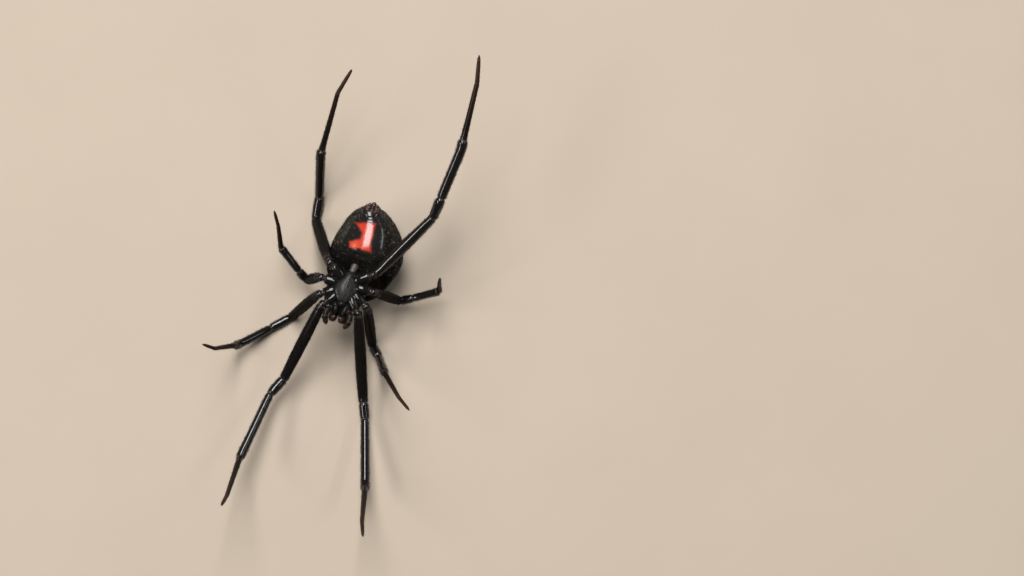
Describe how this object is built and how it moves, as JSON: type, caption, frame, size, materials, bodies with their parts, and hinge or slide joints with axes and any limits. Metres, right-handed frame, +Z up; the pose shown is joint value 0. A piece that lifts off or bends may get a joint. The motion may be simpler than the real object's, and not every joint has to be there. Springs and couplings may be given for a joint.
{
  "type": "black widow spider",
  "caption": "Life-size female black widow spider model, lying belly up on its round abdomen and bent knees, long thin legs spread fore and aft.",
  "frame": {"origin": "on the floor, under the middle of the whole spider's plan, legs and all", "axes": "+Z is up, the way the belly faces; -Y is the way the head points, +Y the spinnerets; +X is the animal's right"},
  "size_m": [0.0219, 0.0506, 0.0157],
  "materials": {
    "cuticle": "glossy black",
    "abdomen": "high gloss black",
    "spinneret": "satin red-brown",
    "mouthparts": "satin dark red-brown",
    "foot": "satin brown-black"
  },
  "bodies": {
    "root": {"cephalothorax": "cuticle", "pedicel": "cuticle", "abdomen": "abdomen", "spinnerets": "spinneret", "chelicera_left": "mouthparts", "chelicera_right": "mouthparts", "palp_left": "mouthparts", "palp_right": "mouthparts", "leg_1_left_femur": "cuticle", "leg_1_left_tibia": "cuticle", "leg_1_left_foot": "foot", "leg_2_left_femur": "cuticle", "leg_2_left_tibia": "cuticle", "leg_2_left_foot": "foot", "leg_3_left_femur": "cuticle", "leg_3_left_tibia": "cuticle", "leg_3_left_foot": "foot", "leg_4_left_femur": "cuticle", "leg_4_left_tibia": "cuticle", "leg_4_left_foot": "foot", "leg_1_right_femur": "cuticle", "leg_1_right_tibia": "cuticle", "leg_1_right_foot": "foot", "leg_2_right_femur": "cuticle", "leg_2_right_tibia": "cuticle", "leg_2_right_foot": "foot", "leg_3_right_femur": "cuticle", "leg_3_right_tibia": "cuticle", "leg_3_right_foot": "foot", "leg_4_right_femur": "cuticle", "leg_4_right_tibia": "cuticle", "leg_4_right_foot": "foot"}
  },
  "joints": []
}
